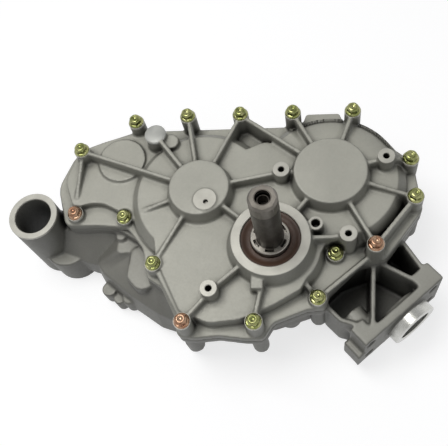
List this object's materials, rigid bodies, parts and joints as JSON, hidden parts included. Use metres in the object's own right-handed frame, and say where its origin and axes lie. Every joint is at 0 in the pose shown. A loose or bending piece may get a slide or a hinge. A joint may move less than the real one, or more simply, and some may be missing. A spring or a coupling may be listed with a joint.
{
  "type": "vehicle transmission",
  "caption": "Compact utility vehicle transmission: cast case and ribbed cover, plain input shaft, reduction gears, forward and reverse dog clutch, mounting tube and bracket.",
  "frame": {"origin": "on the input shaft's axis, in the joint plane between the front cover and the rear case", "axes": "+Z along the input shaft, out of the cover towards its free end; +X along the case's long side, from the mounting tube towards the output shaft; +Y towards the shift lever"},
  "size_m": [0.4737, 0.2773, 0.228],
  "materials": {
    "case_cast": "as cast, satin",
    "cover_cast": "as cast, satin, machined seats",
    "zinc_bolts": "yellow zinc plated",
    "pins_steel": "ground",
    "bearing_steel": "ground",
    "seal_rubber": "matte",
    "shaft_steel": "oiled, machined",
    "gear_steel": "ground teeth",
    "bush_bronze": "machined",
    "fork_cast": "as cast",
    "lever_zinc": "zinc plated",
    "breather_brass": "machined"
  },
  "bodies": {
    "case": {"rear_case": "case_cast", "front_cover": "cover_cast", "cover_bolts": "zinc_bolts", "dowel_pins": "pins_steel", "counter_front_bearing_outer_ring": "bearing_steel", "counter_front_bearing_seal": "seal_rubber", "counter_rear_bearing_outer_ring": "bearing_steel", "counter_rear_bearing_seal": "seal_rubber", "input_front_bearing_outer_ring": "bearing_steel", "input_front_bearing_seal": "seal_rubber", "input_rear_bearing_outer_ring": "bearing_steel", "input_rear_bearing_seal": "seal_rubber", "output_front_bearing_outer_ring": "bearing_steel", "output_front_bearing_seal": "seal_rubber", "output_rear_bearing_outer_ring": "bearing_steel", "output_rear_bearing_seal": "seal_rubber", "input_seal": "seal_rubber", "output_seal": "seal_rubber", "shift_seal": "seal_rubber", "detent_ball": "pins_steel", "detent_spring": "pins_steel", "detent_plug": "zinc_bolts", "filler_plug": "zinc_bolts", "drain_plug": "zinc_bolts", "breather": "breather_brass"},
    "input": {"input_shaft": "shaft_steel", "input_sleeve": "shaft_steel", "input_front_bearing_inner_ring": "bearing_steel", "input_rear_bearing_inner_ring": "bearing_steel"},
    "counter": {"counter_shaft": "shaft_steel", "counter_keys": "pins_steel", "counter_wheel": "gear_steel", "reverse_drive_gear": "gear_steel", "counter_spacer": "shaft_steel", "counter_washer": "shaft_steel", "counter_front_bearing_inner_ring": "bearing_steel", "counter_rear_bearing_inner_ring": "bearing_steel"},
    "output": {"output_shaft": "shaft_steel", "output_spacer": "shaft_steel", "output_washer": "shaft_steel", "output_front_bearing_inner_ring": "bearing_steel", "output_rear_bearing_inner_ring": "bearing_steel"},
    "forward": {"forward_gear": "gear_steel", "forward_bush": "bush_bronze"},
    "reverse": {"reverse_gear": "gear_steel", "reverse_bush": "bush_bronze"},
    "sleeve": {"dog_sleeve": "gear_steel"},
    "fork": {"shift_fork": "fork_cast", "shift_rail": "shaft_steel"},
    "lever": {"shift_shaft": "shaft_steel", "shift_lever": "lever_zinc"}
  },
  "joints": [
    {"name": "forward_spin", "type": "hinge", "parent": "case", "child": "forward", "pos_m": [0.06116, 0.07753, -0.035], "axis": [0, 0, 1], "continuous": true},
    {"name": "input_spin", "type": "hinge", "parent": "case", "child": "input", "pos_m": [0, 0, 0], "axis": [0, 0, 1], "continuous": true},
    {"name": "counter_spin", "type": "hinge", "parent": "case", "child": "counter", "pos_m": [-0.07784, 0.06077, 0], "axis": [0, 0, 1], "continuous": true},
    {"name": "reverse_spin", "type": "hinge", "parent": "case", "child": "reverse", "pos_m": [0.06116, 0.07753, 0.01], "axis": [0, 0, 1], "continuous": true},
    {"name": "output_spin", "type": "hinge", "parent": "case", "child": "output", "pos_m": [0.06116, 0.07753, 0], "axis": [0, 0, 1], "continuous": true},
    {"name": "lever_turn", "type": "hinge", "parent": "case", "child": "lever", "pos_m": [-0.028, 0.15, -0.036], "axis": [0, 1, 0], "range_deg": [-17.79, 17.79]},
    {"name": "fork_slide", "type": "slide", "parent": "case", "child": "fork", "axis": [0, 0, 1], "range_m": [-0.0055, 0.0055]},
    {"name": "sleeve_slide", "type": "slide", "parent": "output", "child": "sleeve", "axis": [0, 0, 1], "range_m": [-0.0055, 0.0055]}
  ],
  "couplings": [
    {"joint": "input_spin", "follows": "forward_spin", "ratio": -1.9259},
    {"joint": "counter_spin", "follows": "forward_spin", "ratio": 1},
    {"joint": "reverse_spin", "follows": "forward_spin", "ratio": -1},
    {"joint": "fork_slide", "follows": "lever_turn", "m_per_rad": -0.01771},
    {"joint": "sleeve_slide", "follows": "lever_turn", "m_per_rad": -0.01771}
  ]
}
